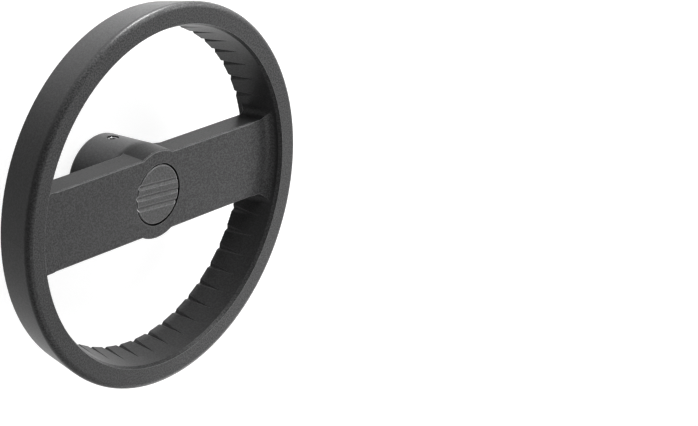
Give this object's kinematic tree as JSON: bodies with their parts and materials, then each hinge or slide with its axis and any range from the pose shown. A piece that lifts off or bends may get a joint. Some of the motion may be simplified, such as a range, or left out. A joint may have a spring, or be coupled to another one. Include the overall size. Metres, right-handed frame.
{
  "type": "machine handwheel",
  "caption": "Two-spoke cast handwheel with a tapered rim, finger flutes inside it, a hub with a plain bore, a grub screw and a grooved cover cap.",
  "frame": {"origin": "centre of the hub's end face, on the wheel's axis", "axes": "+Z along the wheel's axis towards its front and the cover cap; X along the spokes; +Y along the grub screw's outer end"},
  "size_m": [0.16, 0.16, 0.04],
  "materials": {
    "textured_black_coat": "fine-textured matt powder coat on cast aluminium",
    "black_moulded_plastic": "lightly eroded moulded surface",
    "blackened_steel": "black oxide, oiled"
  },
  "bodies": {
    "wheel": {"wheel_casting": "textured_black_coat", "cover_cap": "black_moulded_plastic"},
    "screw": {"grub_screw": "blackened_steel"}
  },
  "joints": [
    {"name": "grub_screw_travel", "type": "slide", "parent": "wheel", "child": "screw", "axis": [0, -1, 0], "range_m": [0, 0.00286]}
  ]
}
